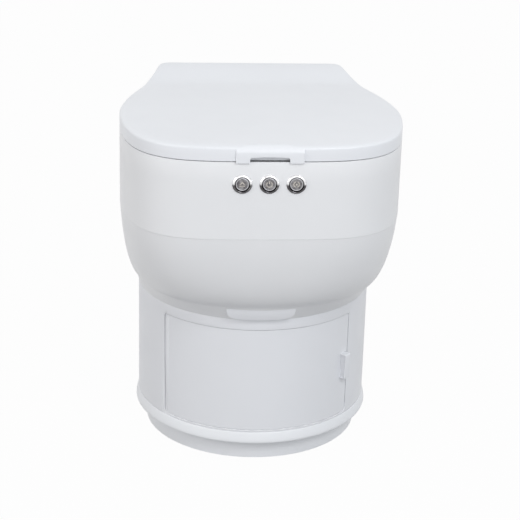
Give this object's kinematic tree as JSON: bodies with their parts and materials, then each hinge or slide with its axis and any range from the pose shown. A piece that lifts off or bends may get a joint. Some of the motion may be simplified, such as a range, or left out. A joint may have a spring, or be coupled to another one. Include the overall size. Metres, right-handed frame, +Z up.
{
  "type": "waterless toilet",
  "caption": "Film-sealing waterless toilet: D-shaped seat unit with wrap-over lid and front buttons on a round base, whose curved door opens onto a waste bin.",
  "frame": {"origin": "centre of the round foot, on the floor; also the centre of the four floor bolts", "axes": "+Z up, +X to the right of someone facing the toilet's front from outside, -Y out of the front with the buttons and the door"},
  "size_m": [0.3822, 0.3959, 0.4915],
  "materials": {
    "shell_white": "satin",
    "door_white": "satin",
    "lid_white": "gloss",
    "seat_white": "gloss",
    "deck_white": "satin",
    "bowl_white": "gloss",
    "floor_plate": "powder coat",
    "rubber": "matte",
    "bumper_grey": "matte",
    "steel": "brushed",
    "nylon": "matte",
    "dark_plastic": "matte",
    "board": "satin",
    "shelf_grey": "satin",
    "frame_grey": "satin",
    "motor_dark": "satin",
    "cassette_grey": "satin",
    "film": "satin",
    "bin_grey": "satin",
    "handle_steel": "brushed",
    "button_metal": "polished",
    "button_face": "brushed",
    "jaw_metal": "machined",
    "silicone": "matte",
    "heater": "satin",
    "drive_steel": "machined",
    "roller_rubber": "matte"
  },
  "bodies": {
    "toilet": {"base_shell": "shell_white", "base_plate": "floor_plate", "foot_pads": "rubber", "plate_screws": "steel", "bay_shelf": "shelf_grey", "door_pins": "steel", "door_washer": "nylon", "magnet_catch": "dark_plastic", "battery_pack": "dark_plastic", "control_board": "board", "power_inlet": "dark_plastic", "coupling_ring": "shelf_grey", "neck_collar": "shell_white", "bowl_housing": "shell_white", "front_tab": "shell_white", "top_deck": "deck_white", "funnel": "bowl_white", "film_cassette": "cassette_grey", "film_pack": "film", "chassis_plate": "shelf_grey", "chassis_posts": "steel", "seal_frame": "frame_grey", "guide_rods": "steel", "motor_bracket": "frame_grey", "drive_motor": "motor_dark", "drive_belt": "rubber", "roller_blocks": "frame_grey", "roller_motors": "motor_dark", "button_bodies": "button_metal", "button_nuts": "steel", "hinge_posts": "deck_white", "hinge_pins": "steel", "hinge_cover": "shell_white", "post_screws": "steel", "waste_bin": "bin_grey"},
    "seat": {"seat": "seat_white", "seat_bumpers": "bumper_grey"},
    "lid": {"lid": "lid_white", "lid_grip": "lid_white", "lid_bumpers": "bumper_grey"},
    "door": {"base_door": "door_white", "door_pull": "door_white", "pull_screws": "steel", "door_striker": "steel"},
    "bin_handle": {"bin_handle": "handle_steel"},
    "button_left": {"button_cap_left": "button_face"},
    "button_centre": {"button_cap_centre": "button_face"},
    "button_right": {"button_cap_right": "button_face"},
    "rear_jaw": {"rear_jaw": "jaw_metal", "jaw_pad": "silicone"},
    "front_jaw": {"front_jaw": "jaw_metal", "heater_strip": "heater"},
    "screw_left": {"screw_left": "drive_steel"},
    "screw_right": {"screw_right": "drive_steel"},
    "motor_pulley": {"motor_pulley": "drive_steel"},
    "roller_left_drive": {"roller_left_drive": "roller_rubber"},
    "roller_left_idler": {"roller_left_idler": "roller_rubber"},
    "roller_right_drive": {"roller_right_drive": "roller_rubber"},
    "roller_right_idler": {"roller_right_idler": "roller_rubber"}
  },
  "joints": [
    {"name": "seat_hinge", "type": "hinge", "parent": "toilet", "child": "seat", "pos_m": [0, 0.148, 0.468], "axis": [1, 0, 0], "range_deg": [-94, 0]},
    {"name": "lid_hinge", "type": "hinge", "parent": "seat", "child": "lid", "pos_m": [0, 0.148, 0.468], "axis": [-1, 0, 0], "range_deg": [0, 96]},
    {"name": "door_hinge", "type": "hinge", "parent": "toilet", "child": "door", "pos_m": [-0.12221, -0.10327, 0.124], "axis": [0, 0, -1], "range_deg": [0, 90]},
    {"name": "press_left", "type": "slide", "parent": "toilet", "child": "button_left", "axis": [0, 1, 0], "range_m": [0, 0.002], "stiffness_N_per_m": 1500},
    {"name": "press_centre", "type": "slide", "parent": "toilet", "child": "button_centre", "axis": [0, 1, 0], "range_m": [0, 0.002], "stiffness_N_per_m": 1500},
    {"name": "press_right", "type": "slide", "parent": "toilet", "child": "button_right", "axis": [0, 1, 0], "range_m": [0, 0.002], "stiffness_N_per_m": 1500},
    {"name": "jaw_slide", "type": "slide", "parent": "toilet", "child": "rear_jaw", "axis": [0, -1, 0], "range_m": [0, 0.0578]},
    {"name": "front_jaw_slide", "type": "slide", "parent": "toilet", "child": "front_jaw", "axis": [0, 1, 0], "range_m": [0, 0.0578]},
    {"name": "screw_turn_left", "type": "hinge", "parent": "toilet", "child": "screw_left", "pos_m": [-0.11, 0, 0.256], "axis": [0, 1, 0], "range_deg": [0, 1041.4]},
    {"name": "screw_turn_right", "type": "hinge", "parent": "toilet", "child": "screw_right", "pos_m": [0.11, 0, 0.256], "axis": [0, 1, 0], "range_deg": [0, 1041.4]},
    {"name": "motor_turn", "type": "hinge", "parent": "toilet", "child": "motor_pulley", "pos_m": [0, 0.075, 0.256], "axis": [0, 1, 0], "range_deg": [0, 1041.4]},
    {"name": "roller_left_drive_turn", "type": "hinge", "parent": "toilet", "child": "roller_left_drive", "pos_m": [-0.1, -0.028, 0.228], "axis": [1, 0, 0], "continuous": true},
    {"name": "roller_left_idler_turn", "type": "hinge", "parent": "toilet", "child": "roller_left_idler", "pos_m": [-0.1, -0.012, 0.228], "axis": [1, 0, 0], "continuous": true},
    {"name": "roller_right_drive_turn", "type": "hinge", "parent": "toilet", "child": "roller_right_drive", "pos_m": [0.1, -0.028, 0.228], "axis": [1, 0, 0], "continuous": true},
    {"name": "roller_right_idler_turn", "type": "hinge", "parent": "toilet", "child": "roller_right_idler", "pos_m": [0.1, -0.012, 0.228], "axis": [1, 0, 0], "continuous": true},
    {"name": "bin_handle_swing", "type": "hinge", "parent": "toilet", "child": "bin_handle", "pos_m": [0, -0.129, 0.165], "axis": [-1, 0, 0], "range_deg": [0, 55]}
  ],
  "couplings": [
    {"joint": "front_jaw_slide", "follows": "jaw_slide", "ratio": 1},
    {"joint": "screw_turn_left", "follows": "jaw_slide", "rad_per_m": 314.16},
    {"joint": "screw_turn_right", "follows": "jaw_slide", "rad_per_m": 314.16},
    {"joint": "motor_turn", "follows": "jaw_slide", "rad_per_m": 314.16},
    {"joint": "roller_left_idler_turn", "follows": "roller_left_drive_turn", "ratio": -1},
    {"joint": "roller_right_drive_turn", "follows": "roller_left_drive_turn", "ratio": 1},
    {"joint": "roller_right_idler_turn", "follows": "roller_left_drive_turn", "ratio": -1}
  ]
}
